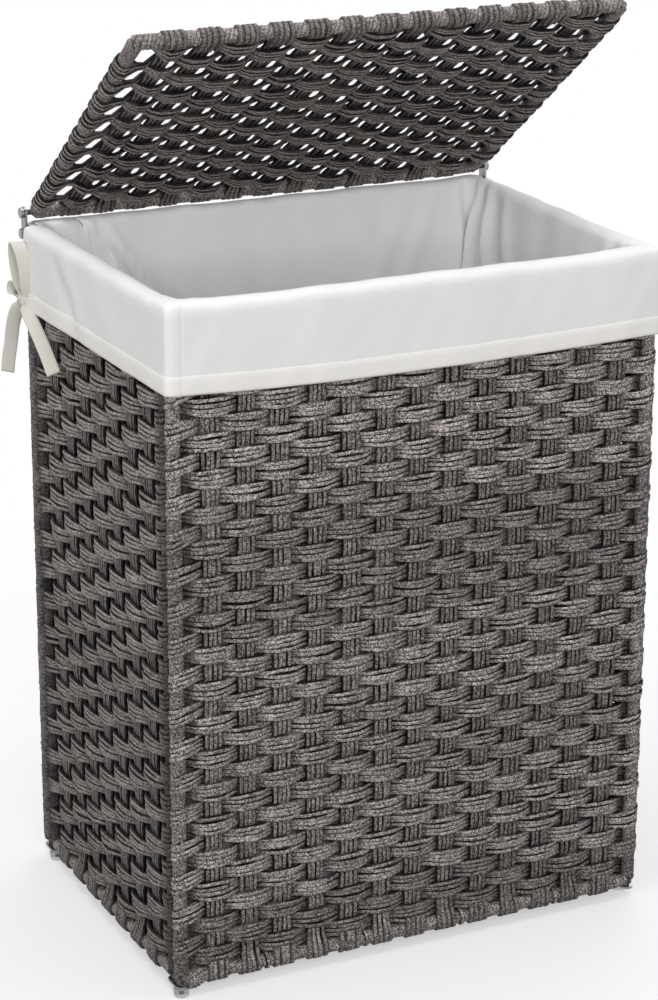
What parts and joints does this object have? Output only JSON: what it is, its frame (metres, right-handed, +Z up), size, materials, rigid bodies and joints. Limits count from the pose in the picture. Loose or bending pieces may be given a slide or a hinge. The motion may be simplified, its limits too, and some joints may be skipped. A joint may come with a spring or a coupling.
{
  "type": "laundry hamper",
  "caption": "Tall rectangular woven laundry hamper on a wrapped wire frame, with a hinged woven lid, a cloth liner folded over the rim and bows at the back corners.",
  "frame": {"origin": "on the floor under the middle of the hamper", "axes": "+X to the right across the front, +Y from the front to the back, +Z up"},
  "size_m": [0.4826, 0.3359, 0.8228],
  "materials": {
    "strand": "twisted grey mottled strand, dull",
    "wire": "dark painted steel wire",
    "steel": "galvanised sheet steel",
    "clear_plastic": "clear, smooth",
    "cotton": "plain woven cotton, pale grey",
    "hem_tape": "ivory cotton tape",
    "ribbon": "ivory cotton tape, folded and stitched"
  },
  "bodies": {
    "basket": {"front_frame": "wire", "front_wrap": "strand", "front_stakes": "strand", "front_weavers": "strand", "back_frame": "wire", "back_wrap": "strand", "back_stakes": "strand", "back_weavers": "strand", "left_frame": "wire", "left_wrap": "strand", "left_stakes": "strand", "left_weavers": "strand", "right_frame": "wire", "right_wrap": "strand", "right_stakes": "strand", "right_weavers": "strand", "base_frame": "wire", "base_wrap": "strand", "base_stakes": "strand", "base_weavers": "strand", "base_lashings": "strand", "corner_tabs": "steel", "foot_caps": "clear_plastic", "hinge_strap_left": "steel", "hinge_strap_right": "steel", "strap_caps": "steel", "liner_bag": "cotton", "liner_hem": "hem_tape", "bow_knot_left": "ribbon", "bow_loops_left": "ribbon", "bow_tails_left": "ribbon", "bow_knot_right": "ribbon", "bow_loops_right": "ribbon", "bow_tails_right": "ribbon"},
    "lid": {"lid_frame": "wire", "lid_wrap": "strand", "lid_stakes": "strand", "lid_weavers": "strand", "lid_pin_caps": "steel"}
  },
  "joints": [
    {"name": "lid_hinge", "type": "hinge", "parent": "basket", "child": "lid", "pos_m": [0, 0.1575, 0.6248], "axis": [-1, 0, 0], "range_deg": [-37.4, 158]}
  ]
}
